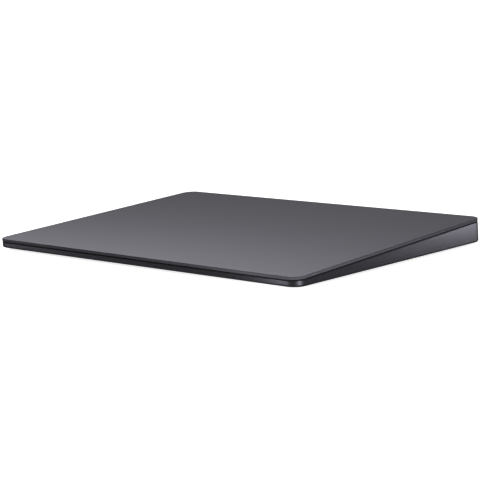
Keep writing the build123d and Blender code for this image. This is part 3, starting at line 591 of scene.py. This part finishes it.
def smooth_with_sharp(piece):
    """Shade a piece smooth, with sharp edges and flat large faces."""
    piece.data.shade_smooth()
    piece.data.set_sharp_from_angle(angle=math.radians(SHARP_TURN))
    weighted = piece.modifiers.new("normals", "WEIGHTED_NORMAL")
    weighted.keep_sharp = True
    weighted.weight = FLAT_FACE_WEIGHT


# Stage


def add_floor():
    """Add the plain pale floor, which reads white and keeps the object's shadow."""
    mesh = bpy.data.meshes.new("floor")
    half = FLOOR_SIZE / 2
    corners = [(-half, -half, 0), (half, -half, 0), (half, half, 0), (-half, half, 0)]
    mesh.from_pydata(corners, [], [(0, 1, 2, 3)])
    floor = add_object("floor", mesh)
    material = bpy.data.materials.new("floor")
    material.use_nodes = True
    tree = material.node_tree
    tree.nodes.clear()
    output = tree.nodes.new("ShaderNodeOutputMaterial")
    total = tree.nodes.new("ShaderNodeAddShader")
    matt = tree.nodes.new("ShaderNodeBsdfDiffuse")
    matt.inputs["Color"].default_value = (FLOOR_ALBEDO,) * 3 + (1,)
    glow = tree.nodes.new("ShaderNodeEmission")
    glow.inputs["Color"].default_value = (1, 1, 1, 1)
    seen = seen_rays(tree)
    strength = tree.nodes.new("ShaderNodeMath")
    strength.operation = "MULTIPLY"
    strength.inputs[1].default_value = FLOOR_GLOW
    tree.links.new(seen, strength.inputs[0])
    tree.links.new(strength.outputs["Value"], glow.inputs["Strength"])
    tree.links.new(matt.outputs["BSDF"], total.inputs[0])
    tree.links.new(glow.outputs["Emission"], total.inputs[1])
    tree.links.new(total.outputs["Shader"], output.inputs["Surface"])
    floor.data.materials.append(material)


def seen_rays(tree):
    """Return 1 on camera, glossy and transmission rays, and 0 on the rest."""
    path = tree.nodes.new("ShaderNodeLightPath")
    value = path.outputs["Is Camera Ray"]
    for name in ("Is Glossy Ray", "Is Transmission Ray"):
        most = tree.nodes.new("ShaderNodeMath")
        most.operation = "MAXIMUM"
        tree.links.new(value, most.inputs[0])
        tree.links.new(path.outputs[name], most.inputs[1])
        value = most.outputs["Value"]
    return value


def add_world():
    """Add a white background that lights the object at a plain level."""
    world = bpy.data.worlds.new("studio")
    bpy.context.scene.world = world
    world.use_nodes = True
    tree = world.node_tree
    background = tree.nodes["Background"]
    background.inputs["Color"].default_value = (1, 1, 1, 1)
    level = tree.nodes.new("ShaderNodeMapRange")
    level.inputs["To Min"].default_value = WORLD_LIGHT
    level.inputs["To Max"].default_value = 1.0
    tree.links.new(seen_rays(tree), level.inputs["Value"])
    tree.links.new(level.outputs["Result"], background.inputs["Strength"])


def add_light(name, place, target, width, height, power):
    """Add a soft light panel that faces a target, with its place in mm."""
    data = bpy.data.lights.new(name, "AREA")
    data.shape = "RECTANGLE"
    data.size = width * MM
    data.size_y = height * MM
    data.energy = power
    light = add_object(name, data)
    back = Vector(place) - Vector(target)
    light.location = Vector(place) * MM
    light.rotation_mode = "QUATERNION"
    light.rotation_quaternion = back.to_track_quat("Z", "Y")
    light.visible_camera = False


def add_lights():
    """Add the soft studio lights."""
    for name, facts in PANELS.items():
        add_light(name, *facts)


def add_camera():
    """Add the camera at the photograph's angle."""
    azimuth = math.radians(CAMERA_AZIMUTH)
    elevation = math.radians(CAMERA_ELEVATION)
    roll = math.radians(CAMERA_ROLL)
    back = Vector(
        (
            math.sin(azimuth) * math.cos(elevation),
            -math.cos(azimuth) * math.cos(elevation),
            math.sin(elevation),
        )
    )
    level = Vector((math.cos(azimuth), math.sin(azimuth), 0))
    rise = back.cross(level)
    right = level * math.cos(roll) + rise * math.sin(roll)
    up = rise * math.cos(roll) - level * math.sin(roll)
    across, over, away = (value * MM for value in CAMERA_OFFSET)
    place = right * across + up * over + back * away
    place.z += CAMERA_AIM_HEIGHT * MM
    data = bpy.data.cameras.new("camera")
    data.lens = CAMERA_LENS
    data.sensor_width = SENSOR_WIDTH
    data.clip_start = CLIP_START * MM
    data.clip_end = 2 * FLOOR_SIZE
    camera = add_object("camera", data)
    turn = Matrix((right, up, back)).transposed().to_4x4()
    camera.matrix_world = Matrix.Translation(place) @ turn
    bpy.context.scene.camera = camera


bpy.context.scene.view_settings.view_transform = "Standard"
add_camera()
add_floor()
add_world()
add_lights()
made = make_materials()
dress_nodes(made)
add_touch_plate(made)
add_force_sensors(made)
add_touch_ribbon(made)
